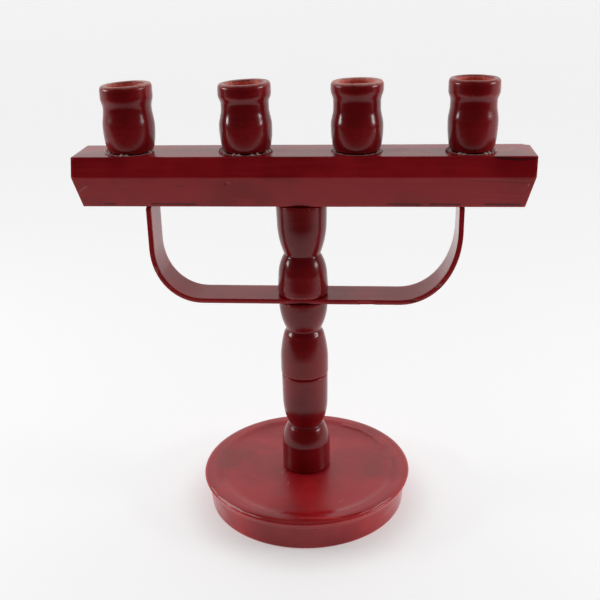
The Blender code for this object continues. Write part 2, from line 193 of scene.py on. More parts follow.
def glide(start, end, leans, pulls, steps=20):
    """Points of a smooth curve between two points, which leaves and meets them leaning down by the given
    degrees, and keeps to those directions over about the given lengths."""
    a, b = (math.radians(lean) for lean in leans)
    first = (start[0] + pulls[0] * math.cos(a), start[1] - pulls[0] * math.sin(a))
    second = (end[0] - pulls[1] * math.cos(b), end[1] + pulls[1] * math.sin(b))
    points = []
    for i in range(steps + 1):
        t = i / steps
        weights = ((1 - t) ** 3, 3 * t * (1 - t) ** 2, 3 * t * t * (1 - t), t ** 3)
        pairs = list(zip(weights, (start, first, second, end)))
        points.append(tuple(sum(weight * point[axis] for weight, point in pairs) for axis in (0, 1)))
    return points


def quarter(start, end, steps=14):
    """Points of a quarter ellipse that leaves the first point upright and meets the last one level."""
    points = []
    for i in range(steps + 1):
        angle = math.pi / 2 * i / steps
        points.append((end[0] + (start[0] - end[0]) * math.cos(angle),
                       start[1] + (end[1] - start[1]) * math.sin(angle)))
    return points


def hole(radius, mouth, floor):
    """Points of a drilled hole, from its mouth to the axis at its floor."""
    return [(radius, mouth), (radius, floor), (0.0, floor)]


def resample(points, step):
    """Even points along a line of points, with the first and the last kept."""
    line = np.array(points)
    lengths = np.hypot(*np.diff(line, axis=0).T)
    keep = np.append(True, lengths > 1e-7)
    line = line[keep]
    along = np.append(0.0, np.cumsum(np.hypot(*np.diff(line, axis=0).T)))
    count = max(2, round(along[-1] / step))
    stations = np.linspace(0.0, along[-1], count + 1)
    return np.column_stack([np.interp(stations, along, values) for values in line.T])


def soften(line, rounds=2):
    """Round the arrises of a line a little, as a film of paint does."""
    for _ in range(rounds):
        line[1:-1] = (line[:-2] + 2 * line[1:-1] + line[2:]) / 4
    return line


# Meshes

def new_mesh(name, verts, faces):
    """A smooth mesh of the given points and faces."""
    mesh = bpy.data.meshes.new(name)
    mesh.from_pydata(verts, [], faces)
    mesh.shade_smooth()
    return mesh


def new_object(name, mesh, location=(0.0, 0.0, 0.0)):
    """A mesh as an object of the scene."""
    piece = bpy.data.objects.new(name, mesh)
    piece.location = location
    bpy.context.scene.collection.objects.link(piece)
    return piece


def spin(name, runs, steps, place, step=PROFILE_STEP):
    """Turn the joined runs of an outline, from axis to axis down its outer side, into a closed mesh."""
    line = soften(resample([point for run in runs for point in run], step))
    line[0, 0] = line[-1, 0] = 0.0
    angles = np.arange(steps) * 2 * math.pi / steps
    rings = line[1:-1]
    verts = [(0.0, 0.0, line[0, 1])]
    for radius, height in rings:
        verts.extend((radius * math.cos(a), radius * math.sin(a), height) for a in angles)
    verts.append((0.0, 0.0, line[-1, 1]))
    last = len(verts) - 1
    faces = []
    for i in range(steps):
        j = (i + 1) % steps
        faces.append((0, 1 + i, 1 + j))
        for ring in range(len(rings) - 1):
            a = 1 + ring * steps
            b = a + steps
            faces.append((a + i, b + i, b + j, a + j))
        end = last - steps
        faces.append((end + i, last, end + j))
    return new_object(name, new_mesh(name, verts, faces), place)


def rows_of(values, name):
    """The three numbers that each item of a mesh's list has under a name, one row per item."""
    rows = np.empty(len(values) * 3, np.float32)
    values.foreach_get(name, rows)
    return rows.reshape(-1, 3).astype(float)


def coordinates(mesh):
    """The points of a mesh."""
    return rows_of(mesh.vertices, "co")


def set_coordinates(mesh, points):
    """Move the points of a mesh."""
    mesh.vertices.foreach_set("co", points.astype(np.float32).ravel())
    mesh.update()


def normals(mesh):
    """The direction of the surface at each point of a mesh."""
    return rows_of(mesh.vertex_normals, "vector")


def lumps(points, size, seed):
    """Smooth noise from 0 to 1 at each point, with features of the given size."""
    shift = Vector((seed * 7.3, seed * 3.1, seed * 5.7))
    return np.array([0.5 + 0.5 * noise.noise(Vector(p) / size + shift) for p in points])


def wear_down(piece, amount, size, seed):
    """Press the surface in by a smooth uneven amount, as hand work and use leave it."""
    mesh = piece.data
    points = coordinates(mesh)
    press = amount * lumps(points, size, seed) + 0.35 * amount * lumps(points, size / 3, seed + 1)
    set_coordinates(mesh, points - normals(mesh) * press[:, None])


def distance_to(route, flat):
    """Distance of each point on a plane from a line of points there."""
    nearest = np.hypot(*(flat - route[0]).T)
    for start, end in zip(route, route[1:]):
        run = np.subtract(end, start)
        share = np.clip((flat - start) @ run / (run @ run), 0.0, 1.0)
        nearest = np.minimum(nearest, np.hypot(*(flat - start - share[:, None] * run).T))
    return nearest


def raise_runs(piece, runs):
    """Raise soft ridges of paint on a piece's upper side, or press dents of a negative height."""
    points = coordinates(piece.data)
    upward = np.clip(normals(piece.data)[:, 2], 0.0, 1.0)
    for route, width, height in runs:
        gap = distance_to(route, points[:, :2])
        points[:, 2] += upward * height * np.exp(-(gap / width) ** 2)
    set_coordinates(piece.data, points)


def store(piece, name, values):
    """Keep a number at each point of a piece, for its material."""
    attribute = piece.data.attributes.new(name, "FLOAT", "POINT")
    attribute.data.foreach_set("value", np.asarray(values, np.float32))


def mark_edges(piece, rounds=2):
    """Store how convex the surface is at each point, from -1 in a groove to 1 on an arris."""
    mesh = piece.data
    points = coordinates(mesh)
    edges = np.empty(len(mesh.edges) * 2, np.int32)
    mesh.edges.foreach_get("vertices", edges)
    a, b = edges.reshape(-1, 2).T
    counts = np.bincount(np.append(a, b), minlength=len(points)).astype(float)
    total = np.zeros_like(points)
    np.add.at(total, a, points[b])
    np.add.at(total, b, points[a])
    length = np.linalg.norm(points[a] - points[b], axis=1)
    reach = np.bincount(a, length, len(points)) + np.bincount(b, length, len(points))
    bulge = np.einsum("ij,ij->i", points - total / counts[:, None], normals(mesh)) / (reach / counts)
    for _ in range(rounds):
        around = np.bincount(a, bulge[b], len(points)) + np.bincount(b, bulge[a], len(points))
        bulge = (bulge + around / counts) / 2
    store(piece, "convexity", np.clip(bulge * 6, -1, 1))


# Materials

def add_node(tree, kind, links=None, values=None, **settings):
    """Add a shader node of a kind, with sockets to link from, socket values and settings, by name."""
    node = tree.nodes.new("ShaderNode" + kind)
    for key, value in settings.items():
        setattr(node, key, value)
    for key, value in (values or {}).items():
        node.inputs[key].default_value = value
    for key, socket in (links or {}).items():
        tree.links.new(socket, node.inputs[key])
    return node


def new_material(name):
    """A material, its node tree, its main shader and the coordinates of the object that wears it."""
    material = bpy.data.materials.new(name)
    material.use_nodes = True
    tree = material.node_tree
    place = add_node(tree, "TexCoord").outputs["Object"]
    return material, tree, tree.nodes["Principled BSDF"], place


def scaled(tree, vector, scale):
    """Coordinates stretched by a different scale along each axis."""
    node = add_node(tree, "Mapping", {"Vector": vector}, {"Scale": scale})
    return node.outputs["Vector"]


def attribute(tree, name):
    """The number that is stored at each point of the mesh under a name."""
    return add_node(tree, "Attribute", attribute_name=name).outputs["Fac"]


def cloud(tree, vector, scale, detail=3.0, roughness=0.55):
    """Noise from 0 to 1."""
    values = {"Scale": scale, "Detail": detail, "Roughness": roughness}
    return add_node(tree, "TexNoise", {"Vector": vector}, values).outputs["Fac"]


def window(tree, value, low, high, bottom=0.0, top=1.0):
    """Smooth step of a value from low to high."""
    limits = {"From Min": low, "From Max": high, "To Min": bottom, "To Max": top}
    node = add_node(tree, "MapRange", {"Value": value}, limits, interpolation_type="SMOOTHSTEP")
    return node.outputs["Result"]


def feed(tree, socket, value):
    """Link a socket to another socket, or give it a number or a colour."""
    if isinstance(value, tuple):
        socket.default_value = (*value, 1.0)
    elif isinstance(value, (int, float)):
        socket.default_value = value
    else:
        tree.links.new(value, socket)


def math_node(tree, operation, *values):
    """An operation on numbers, each a socket or a value."""
    node = add_node(tree, "Math", operation=operation)
    for socket, value in zip(node.inputs, values):
        feed(tree, socket, value)
    return node.outputs["Value"]


def mix_colour(tree, share, first, second):
    """Blend two colours, each a socket or a value."""
    node = add_node(tree, "Mix", {"Factor": share}, data_type="RGBA")
    feed(tree, node.inputs[6], first)
    feed(tree, node.inputs[7], second)
    return node.outputs[2]


def stroke(tree, place, start, end, width):
    """Mask of one ragged stroke from start to end, which fades out towards its width."""
    def vector_node(operation, links, values=None):
        return add_node(tree, "VectorMath", links, values, operation=operation).outputs

    run = Vector(end) - Vector(start)
    offset = vector_node("SUBTRACT", {0: place}, {1: start})[0]
    share = vector_node("DOT_PRODUCT", {0: offset}, {1: run / run.length_squared})["Value"]
    share = add_node(tree, "Clamp", {"Value": share}).outputs["Result"]
    nearest = vector_node("SCALE", {"Scale": share}, {0: run})[0]
    gap = vector_node("DISTANCE", {0: offset, 1: nearest})["Value"]
    ragged = cloud(tree, place, 0.8 / width, roughness=0.7)
    gap = math_node(tree, "ADD", gap, math_node(tree, "MULTIPLY", ragged, width))
    return window(tree, gap, 1.5 * width, 0.7 * width)


def dress(tree, shader, colour, relief, strength, distance):
    """Give a shader its colour and the bumps of a relief."""
    values = {"Strength": strength, "Distance": distance}
    bump = add_node(tree, "Bump", {"Height": relief}, values)
    tree.links.new(colour, shader.inputs["Base Color"])
    tree.links.new(bump.outputs["Normal"], shader.inputs["Normal"])


# Tones of the paint and of what shows through it, and of painted shade, sheen and highlights
PAINT_DEEP = (0.175, 0.0030, 0.0055)
PAINT_MID = (0.250, 0.0060, 0.0095)
PAINT_THIN = (0.360, 0.0170, 0.0190)
PAINT_WORN = (0.480, 0.1250, 0.1000)
PAINT_BALD = (0.760, 0.3400, 0.2900)
# Dark tone of thick paint, also used for painted shade in grooves and in a chip
THICK_PAINT_AND_SHADE = (0.040, 0.0012, 0.0020)
# Painted red highlight on the dish's crest
PAINTED_CREST_HIGHLIGHT = (0.780, 0.0350, 0.0220)
# Painted brownish reflection on the dish
PAINTED_BROWN_REFLECTION = (0.240, 0.0600, 0.0560)
# Painted reflection on the dish's floor
PAINTED_DISH_REFLECTION = (0.560, 0.0560, 0.0640)
# Painted highlight on the dish's lip
PAINTED_LIP_HIGHLIGHT = (0.860, 0.6400, 0.6200)
# Painted reflection on the dish's side wall
PAINTED_SKIRT_REFLECTION = (0.560, 0.2000, 0.2100)
# Painted sheen on the bar's top
PAINTED_BAR_SHEEN = (0.170, 0.0750, 0.0700)
# Painted paler sheen at the bar's ends
PAINTED_BAR_END_SHEEN = (0.600, 0.2600, 0.2500)
# Pale tone of scratches, also used for a painted highlight along a ridge on the dish
PALE_SCRATCH_AND_HIGHLIGHT = (0.620, 0.4300, 0.4000)
BARE_WOOD = (0.560, 0.3500, 0.1950)

# Noise scales of the paint, the wood and the glue, per metre
PATCH_SCALE = 30.0
STREAK_SCALE = 60.0
SMEAR_SCALE = 55.0
WEAR_SCALE = 160.0
RAGGED_SCALE = 420.0
COAT_SCALE = 240.0
PEEL_SCALE = 1100.0
GRAIN_SCALE = 14.0
PORE_SCALE = 1300.0
SPOT_SCALE = 900.0

# How much rougher the paint is where it is dull, where it is rubbed through and under a stroke
DULL_ROUGHNESS = 0.18
RUBBED_ROUGHNESS = 0.25
STROKE_ROUGHNESS = 0.25


def paint(name, tint, streak, rough, origin=(0, 0, 0), marks=(), wear=1.0, contrast=1.0, index=1.4):
    """Glossy crimson paint over wood, thin on arrises, darkened in grooves by thick paint and painted
    shade, with the given strokes.
    """
    material, tree, shader, place = new_material(name)

    def product(first, second):
        return math_node(tree, "MULTIPLY", first, second)

    def total(first, second):
        return math_node(tree, "ADD", first, second)

    convexity = attribute(tree, "convexity")
    tones = (PAINT_DEEP, PAINT_MID, PAINT_THIN)
    deep, mid, thin_coat = (tuple(tint * value for value in tone) for tone in tones)

    # Broad patches and brush streaks
    patches = cloud(tree, place, PATCH_SCALE, detail=2.0)
    patches = window(tree, patches, 0.30, 0.62, 0.5 - 0.5 * contrast, 0.5 + 0.5 * contrast)
    colour = mix_colour(tree, patches, deep, mid)
    streaks = cloud(tree, scaled(tree, place, streak), STREAK_SCALE, detail=4.0, roughness=0.6)
    colour = mix_colour(tree, window(tree, streaks, 0.45, 0.80, top=0.30), colour, thin_coat)

    # Painted shade and thick paint in grooves, thin paint on arrises, and wood where these are rubbed
    # through
    colour = mix_colour(tree, window(tree, convexity, -0.05, -0.45, top=0.7), colour, THICK_PAINT_AND_SHADE)
    thin = product(window(tree, convexity, 0.08, 0.38), wear)
    colour = mix_colour(tree, product(thin, 0.45), colour, thin_coat)
    ragged = cloud(tree, place, RAGGED_SCALE, detail=5.0, roughness=0.7)
    rubbed = product(thin, window(tree, ragged, 0.60, 0.70))
    colour = mix_colour(tree, rubbed, colour, PAINT_WORN)

    # Patches that use has worn down, and bald spots in them
    worn = total(cloud(tree, place, WEAR_SCALE, detail=4.0, roughness=0.65), attribute(tree, "worn"))
    colour = mix_colour(tree, window(tree, worn, 0.80, 1.25), colour, PAINT_WORN)
    bald = window(tree, worn, 1.15, 1.50)
    colour = mix_colour(tree, bald, colour, PAINT_BALD)
    rubbed = math_node(tree, "MAXIMUM", rubbed, bald)

    # Gloss, and the strokes, some of them painted shade, sheen and highlights
    roughness = window(tree, cloud(tree, place, SMEAR_SCALE), 0.3, 0.7, *rough)
    roughness = total(roughness, product(attribute(tree, "dull"), DULL_ROUGHNESS))
    roughness = total(roughness, product(rubbed, RUBBED_ROUGHNESS))
    for start, end, width, tone, strength in marks:
        local = [tuple(a - b for a, b in zip(point, origin)) for point in (start, end)]
        mask = product(stroke(tree, place, *local, width), strength)
        colour = mix_colour(tree, mask, colour, tone)
        roughness = total(roughness, product(mask, STROKE_ROUGHNESS))

    # Relief of the coat, of its orange peel and of the brush
    coat = cloud(tree, place, COAT_SCALE, detail=2.0)
    peel = cloud(tree, place, PEEL_SCALE, detail=2.0)
    relief = total(total(coat, product(peel, 0.35)), product(streaks, 0.5))
    dress(tree, shader, colour, relief, strength=0.4, distance=0.00012)
    tree.links.new(roughness, shader.inputs["Roughness"])
    shader.inputs["IOR"].default_value = index
    return material


def raw_wood(name, pale, dark, along=(3.0, 60.0, 60.0), roughness=0.62):
    """Unpainted wood with fine grain along one axis."""
    material, tree, shader, place = new_material(name)
    grain = cloud(tree, scaled(tree, place, along), GRAIN_SCALE, detail=6.0, roughness=0.65)
    pores = cloud(tree, place, PORE_SCALE, detail=2.0)
    colour = mix_colour(tree, window(tree, grain, 0.32, 0.68), dark, pale)
    relief = math_node(tree, "ADD", grain, math_node(tree, "MULTIPLY", pores, 0.4))
    dress(tree, shader, colour, relief, strength=0.5, distance=0.0002)
    shader.inputs["Roughness"].default_value = roughness
    return material


def dried_glue(name):
    """Milky dried glue over the red paint."""
    material, tree, shader, place = new_material(name)
    spots = window(tree, cloud(tree, place, SPOT_SCALE), 0.35, 0.65)
    colour = mix_colour(tree, spots, (0.66, 0.36, 0.34), (0.88, 0.72, 0.69))
    tree.links.new(colour, shader.inputs["Base Color"])
    shader.inputs["Roughness"].default_value = 0.35
    return material


# The turned pieces

def finish_piece(piece, node, body, *materials):
    """Give a piece its materials, and put it on a body in place of a node of the construction."""
    for material in materials:
        piece.data.materials.append(material)
    mark_edges(piece)
    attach(piece, body)
    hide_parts(node)
    return piece


def polar(radius, degrees, *height):
    """A point on the dish, from its distance to the middle, its angle from +X and perhaps its height."""
    angle = math.radians(degrees)
    return radius * math.cos(angle), radius * math.sin(angle), *height


# Painted highlights on the dish's lip: their height, and the two ends, the width and the strength of
# each
LIP_MARKS = 0.0226
LIP_LIGHTS = (
    ((0.0702, -152), (0.0705, -142), 0.0006, 0.60),
    ((0.0705, -142), (0.0701, -132), 0.0009, 0.75),
    ((0.0701, -132), (0.0704, -122), 0.0008, 0.75),
    ((0.0704, -122), (0.0706, -110), 0.0006, 0.55),
    ((0.0706, -60), (0.0702, -48), 0.0005, 0.40),
    ((0.0702, -48), (0.0705, -33), 0.0006, 0.45),
)

# Painted shade, reflections and highlights, and scratches on the dish: start, end, width, tone and
# strength of each
DISH_MARKS = (
    # Painted shade behind the post
    ((-0.0300, 0.0460, 0.0216), (0.0400, 0.0460, 0.0216), 0.0180, PAINT_DEEP, 0.35),
    # Painted reflections at the front left and right
    ((-0.0480, -0.0300, 0.0216), (-0.0200, -0.0500, 0.0216), 0.0140, PAINTED_DISH_REFLECTION, 0.60),
    ((0.0260, -0.0440, 0.0216), (0.0500, -0.0240, 0.0216), 0.0130, PAINTED_DISH_REFLECTION, 0.50),
    # Painted brownish reflections at the left and right
    ((-0.0540, 0.0010, 0.0216), (-0.0460, 0.0180, 0.0216), 0.0130, PAINTED_BROWN_REFLECTION, 0.38),
    ((0.0460, -0.0080, 0.0216), (0.0520, 0.0120, 0.0216), 0.0110, PAINTED_BROWN_REFLECTION, 0.34),
    # Painted red highlight along the front crest
    ((0.0005, -0.0658, 0.0232), (0.0291, -0.0642, 0.0232), 0.0011, PAINTED_CREST_HIGHLIGHT, 0.65),
    # Painted shade on the front of the side wall, under the lip
    ((-0.0100, -0.0690, 0.0130), (0.0160, -0.0680, 0.0020), 0.0340, PAINT_DEEP, 0.45),
    # Painted reflections on the side wall's left and right
    ((-0.0760, -0.0100, 0.0120), (-0.0600, -0.0440, 0.0100), 0.0120, PAINTED_SKIRT_REFLECTION, 0.45),
    ((0.0740, -0.0100, 0.0120), (0.0610, -0.0420, 0.0100), 0.0090, PAINTED_SKIRT_REFLECTION, 0.30),
    # Painted highlights on the lip
    *((polar(*start, LIP_MARKS), polar(*end, LIP_MARKS), width, PAINTED_LIP_HIGHLIGHT, strength)
      for start, end, width, strength in LIP_LIGHTS),
    # Painted highlight along the ridge right of the post
    ((0.0166, 0.0208, 0.0222), (0.0214, 0.0155, 0.0220), 0.0010, PALE_SCRATCH_AND_HIGHLIGHT, 0.14),
    ((0.0214, 0.0155, 0.0220), (0.0266, 0.0104, 0.0219), 0.0010, PALE_SCRATCH_AND_HIGHLIGHT, 0.14),
    ((0.0266, 0.0104, 0.0219), (0.0337, 0.0094, 0.0218), 0.0010, PALE_SCRATCH_AND_HIGHLIGHT, 0.10),
    # A scratch
    ((0.0245, -0.0447, 0.0213), (0.0273, -0.0421, 0.0213), 0.0007, PALE_SCRATCH_AND_HIGHLIGHT, 0.40),
    ((0.0245, -0.0447, 0.0213), (0.0240, -0.0418, 0.0213), 0.0006, PALE_SCRATCH_AND_HIGHLIGHT, 0.25),
)

# Runs, lumps and dents in the dish's paint: the line that each follows, its width and its height
DISH_RUNS = (
    ((polar(0.0600, 66), polar(0.0607, 53), polar(0.0600, 41)), 0.0010, 0.00055),
    ((polar(0.0600, 38), polar(0.0596, 28)), 0.0012, 0.00035),
    ((polar(0.0570, 26),), 0.0034, 0.00026),
    ((polar(0.0646, 39),), 0.0017, -0.00030),
    ((polar(0.0605, 8), polar(0.0600, -2)), 0.0016, -0.00035),
    (((-0.0139, -0.0149), (-0.0125, -0.0153)), 0.0019, 0.00080),
    (((-0.0098, -0.0263),), 0.0011, 0.00035),
    (((0.0166, 0.0208), (0.0214, 0.0155), (0.0266, 0.0104), (0.0337, 0.0094)), 0.0011, 0.00014),
    ((polar(0.0680, -150),), 0.0010, -0.00035),
    ((polar(0.0682, -146),), 0.0009, -0.00030),
)


def dish(material):
    """The turned dish, with a shallow floor, a rounded rim and runs of paint."""
    low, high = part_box("base_disc")
    rim = high.z - RIM_DROP
    widest = (high.x, rim - LIP_DROP)
    undercut = (widest[0] - UNDERCUT[0], widest[1] - UNDERCUT[1])
    crest = (high.x - LIP_WIDTH, rim)
    sunk = (crest[0] - RAMP_WIDTH, rim - DISH_DEPTH)
    seat = high.z
    runs = [
        hole(SOCKET_RADIUS, seat, SOCKET_FLOOR)[::-1],
        arc((SEAT_RADIUS, seat), sunk, -FLOOR_HOLLOW),
        ramp(sunk, crest),
        quarter(widest, crest)[::-1],
        arc(widest, undercut, -UNDERCUT_HOLLOW),
        arc(undercut, (BASE_RADIUS, FOOT_EASE), -WALL_HOLLOW),
        [(BASE_RADIUS - FOOT_EASE, low.z), (0.0, low.z)],
    ]
    piece = spin("dish", runs, DISH_ROUND_STEPS, (0.0, 0.0, 0.0), DISH_PROFILE_STEP)
    wear_down(piece, *DISH_WEAR, seed=3)
    wear_down(piece, *DISH_PITS, seed=5)
    raise_runs(piece, DISH_RUNS)
    points = coordinates(piece.data)
    points[:, 2] = np.clip(points[:, 2], low.z, high.z)
    set_coordinates(piece.data, points)
    inward = sunk[0] - np.hypot(*points[:, :2].T)
    store(piece, "dull", np.clip(1 + inward / DULL_EDGE, 0.0, 1.0))
    return finish_piece(piece, "base_disc", "foot", material)


def bottom_of_post(material):
    """The foot cylinder, the low bead and the lower half of the barrel."""
    low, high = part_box("lower_post")
    top = high.z - low.z
    foot = high.x
    neck = FOOT_LENGTH + LOW_BEAD_LENGTH
    shoulder = (LOW_BEAD_SHOULDER[0], neck - LOW_BEAD_SHOULDER[1])
    arris = (foot - 0.5 * ARRIS_EASE, FOOT_LENGTH + 0.2 * ARRIS_EASE)
    turn = (BARREL_TURN_RADIUS, neck + BARREL_TURN_LENGTH)
    crease = (BARREL_CREASE_RADIUS, neck + BARREL_CREASE_LENGTH)
    barrel = LOWER_BARREL_RADIUS
    runs = [
        hole(SOCKET_RADIUS, top, top - PEG_HOLE_DEPTH)[::-1],
        [(barrel - ARRIS_EASE, top)],
        arc((barrel, top - ARRIS_EASE), crease, BARREL_ROUND),
        arc(crease, turn, BARREL_ROUND),
        arc(turn, (LOW_NECK_RADIUS, neck), BARREL_TURN_ROUND),
        glide(shoulder, arris, LOW_BEAD_LEANS, LOW_BEAD_PULLS),
        [(foot, FOOT_LENGTH - 2 * ARRIS_EASE), (foot, ARRIS_EASE), (foot - ARRIS_EASE, 0.0)],
        hole(SOCKET_RADIUS, 0.0, DOWEL_HOLE_DEPTH),
    ]
    piece = spin("post_lower_half", runs, ROUND_STEPS, (0.0, 0.0, low.z))
    wear_down(piece, *POST_WEAR, seed=11)
    return finish_piece(piece, "lower_post", "foot", material)


def middle_of_post(material):
    """The upper half of the barrel and the half bead under the brace."""
    low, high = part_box("middle_post")
    top = high.z - low.z
    bead = high.x
    neck = UPPER_BARREL_LENGTH
    shoulder = (SHOULDER_RADIUS, neck - SHOULDER_DROP)
    barrel = UPPER_BARREL_RADIUS
    runs = [
        hole(DOWEL_HOLE_RADIUS, top, top - DOWEL_HOLE_DEPTH)[::-1],
        [(bead - ARRIS_EASE, top), (bead, top - ARRIS_EASE)],
        arc((bead, neck + HALF_BEAD_CURVE), (MID_NECK_RADIUS, neck), HALF_BEAD_ROUND),
        arc(shoulder, (barrel, shoulder[1] - SHOULDER_CURVE), SHOULDER_ROUND),
        [(barrel, ARRIS_EASE), (barrel - ARRIS_EASE, 0.0)],
        hole(SOCKET_RADIUS, 0.0, DOWEL_HOLE_DEPTH),
    ]
    piece = spin("post_middle", runs, ROUND_STEPS, (0.0, 0.0, low.z))
    wear_down(piece, *POST_WEAR, seed=17)
    return finish_piece(piece, "middle_post", "upper_half", material)


def top_of_post(material):
    """The bead over the brace, the neck and the bell under the crossbar."""
    low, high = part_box("upper_post")
    top = high.z - low.z
    bead = high.x
    neck = TOP_BEAD_LENGTH
    runs = [
        hole(DOWEL_HOLE_RADIUS, top, top - DOWEL_HOLE_DEPTH)[::-1],
        [(BELL_RADIUS - ARRIS_EASE, top), (BELL_RADIUS, top - 2 * ARRIS_EASE)],
        arc((BELL_SHOULDER_RADIUS, neck + BELL_CURVE), (TOP_NECK_RADIUS, neck), BELL_ROUND),
        arc((TOP_NECK_RADIUS, neck), (bead - ARRIS_EASE, neck - TOP_BEAD_CURVE), TOP_BEAD_ROUND),
        [(bead, TOP_BEAD_GIRTH), (bead, 2 * ARRIS_EASE), (bead - ARRIS_EASE, 0.0)],
        hole(DOWEL_HOLE_RADIUS, 0.0, DOWEL_HOLE_DEPTH),
    ]
    piece = spin("post_top", runs, ROUND_STEPS, (0.0, 0.0, low.z))
    wear_down(piece, *POST_WEAR, seed=23)
    return finish_piece(piece, "upper_post", "upper_half", material)


def cup(number, shape, paint_material, bore_material):
    """One cup, lumpy from the knife and the brush, with a hand-cut rim and a stained bore."""
    slope, collar, step, waist_share, waist_height, belly_height, belly_share, worn = shape
    low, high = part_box(f"candle_cup_{number}")
    height = high.z - low.z
    lip = (high.x - low.x) / 2
    belly = lip * belly_share
    waist = lip * waist_share
    foot = belly * CUP_FOOT_SHARE
    floor = height - BORE_DEPTH
    runs = [
        hole(BORE_RADIUS, height - 2 * BORE_FLARE, floor)[::-1],
        [(BORE_RADIUS + BORE_FLARE, height - 0.3 * BORE_FLARE)],
        quarter((lip, height - CUP_LIP_DROP), (lip - CUP_LIP_EDGE, height))[::-1],
        wave((lip, height - collar), (waist, height - collar - step)),
        wave((waist, waist_height), (belly, belly_height)),
        quarter((belly, belly_height), (foot, 0.0)),
        hole(CUP_HOLE_RADIUS, 0.0, CUP_HOLE_DEPTH),
    ]
    place = ((low.x + high.x) / 2, 0.0, low.z)
    piece = spin(f"cup_{number}", runs, ROUND_STEPS, place)
    wear_down(piece, *CUP_WEAR, seed=31 + 5 * number)
    points = coordinates(piece.data)

    # Tilt the rim
    share = np.clip((points[:, 2] - waist_height) / (height - waist_height), 0.0, 1.0)
    points[:, 2] += slope * points[:, 0] * share
    points[:, 2] = np.minimum(points[:, 2], cad_bounds[1].z - low.z)
    set_coordinates(piece.data, points)
    finish_piece(piece, f"candle_cup_{number}", "upper_half", paint_material, bore_material)

    # Wear the rim, and leave the bore unpainted
    rim = np.clip((points[:, 2] - slope * points[:, 0] - height + RIM_WEAR) / (0.6 * RIM_WEAR), 0.0, 1.0)
    store(piece, "worn", worn * rim)
    inside = BORE_RADIUS + 0.5 * BORE_FLARE
    for face in piece.data.polygons:
        centre = face.center
        if math.hypot(centre.x, centre.y) < inside and centre.z > floor - 0.001:
            face.material_index = 1
    return piece


# The crossbar and the brace

def slice_across(block, axis, step):
    """Cut a bmesh across one axis at even stations, so that its long faces become small ones."""
    values = [vertex.co[axis] for vertex in block.verts]
    low, high = min(values), max(values)
    count = round((high - low) / step)
    normal = [float(i == axis) for i in range(3)]
    for i in range(1, count):
        point = [0.0, 0.0, 0.0]
        point[axis] = low + (high - low) * i / count
        bisect(block, point, normal, 0.00002)


def bisect(block, point, normal, tolerance=0.0):
    """Cut a bmesh along a plane, and keep both parts."""
    everything = block.verts[:] + block.edges[:] + block.faces[:]
    bmesh.ops.bisect_plane(block, geom=everything, plane_co=point, plane_no=normal, dist=tolerance)


BAR_BAND = 0.0126
BAR_SIDE_SLANT = 0.0042
BAR_END_SLANT = 0.0049
BAR_EASE = 0.0005
BAR_FACETS = (0.0025, 0.0022, 0.0020)

# The left end is sawn a little short, and leans in more towards the top
LEFT_END_CUT = 0.0006
LEFT_END_LEAN = 0.0013
LEFT_END_REACH = 0.0120

# Left and right ends of the dark stretches along the bar's bottom edge
DARK_STRETCHES = (
    (-0.1212, -0.1142), (-0.0915, -0.0646), (0.0537, 0.0742), (0.0790, 0.0969), (0.1118, 0.1325),
)


def bar_marks():
    """Scratches, smears, dark marks, painted shadow in a chip and painted sheen on the bar: start, end,
    width, tone and strength of each.
    """
    low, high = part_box("crossbar")
    front = low.y
    edge = high.z - BAR_BAND

    def slant(x, z):
        return x, front + BAR_SIDE_SLANT * (edge - z) / (edge - low.z), z

    def top(x, y):
        return x, y, high.z

    stretches = [
        (slant(left, low.z + 0.0020), slant(right, low.z + 0.0018), 0.0009, THICK_PAINT_AND_SHADE, 0.85)
        for left, right in DARK_STRETCHES
    ]
    return [
        (slant(-0.1357, 0.2232), slant(-0.1307, 0.2262), 0.0004, PALE_SCRATCH_AND_HIGHLIGHT, 0.4),
        (slant(-0.0758, 0.2263), slant(-0.0715, 0.2263), 0.0006, THICK_PAINT_AND_SHADE, 0.5),
        (slant(0.0999, 0.2311), slant(0.1395, 0.2296), 0.0004, PALE_SCRATCH_AND_HIGHLIGHT, 0.08),
        (slant(0.1000, 0.2299), slant(0.1360, 0.2284), 0.0003, THICK_PAINT_AND_SHADE, 0.5),
        (top(0.0067, 0.0059), top(0.0101, 0.0117), 0.0006, PALE_SCRATCH_AND_HIGHLIGHT, 0.6),
        (top(0.0081, -0.0055), top(0.0122, -0.0027), 0.0005, PALE_SCRATCH_AND_HIGHLIGHT, 0.5),
        (top(0.0517, 0.0082), top(0.0577, 0.0052), 0.0005, PALE_SCRATCH_AND_HIGHLIGHT, 0.4),
        (top(0.0601, 0.0023), top(0.0640, -0.0089), 0.0008, PALE_SCRATCH_AND_HIGHLIGHT, 0.6),
        (top(0.0690, -0.0035), top(0.0785, -0.0036), 0.0006, PALE_SCRATCH_AND_HIGHLIGHT, 0.5),
        (top(0.1250, -0.0014), top(0.1297, 0.0070), 0.0007, PALE_SCRATCH_AND_HIGHLIGHT, 0.8),
        (top(0.1280, 0.0071), top(0.1301, 0.0013), 0.0005, PALE_SCRATCH_AND_HIGHLIGHT, 0.7),
        *stretches,
        # Painted shadow in a chip on the front band
        ((0.1172, front, 0.2436), (0.1300, front, 0.2424), 0.0011, THICK_PAINT_AND_SHADE, 0.9),
        ((0.1300, front, 0.2424), (0.1390, front, 0.2430), 0.0009, THICK_PAINT_AND_SHADE, 0.8),
        # Painted sheen along the top, paler at both ends
        (top(-0.080, 0.0010), top(0.105, 0.0010), 0.0085, PAINTED_BAR_SHEEN, 0.30),
        (top(-0.1330, -0.0040), top(-0.1230, 0.0060), 0.0070, PAINTED_BAR_END_SHEEN, 0.45),
        (top(0.1150, 0.0000), top(0.1360, -0.0040), 0.0050, PAINTED_BAR_END_SHEEN, 0.15),
    ]


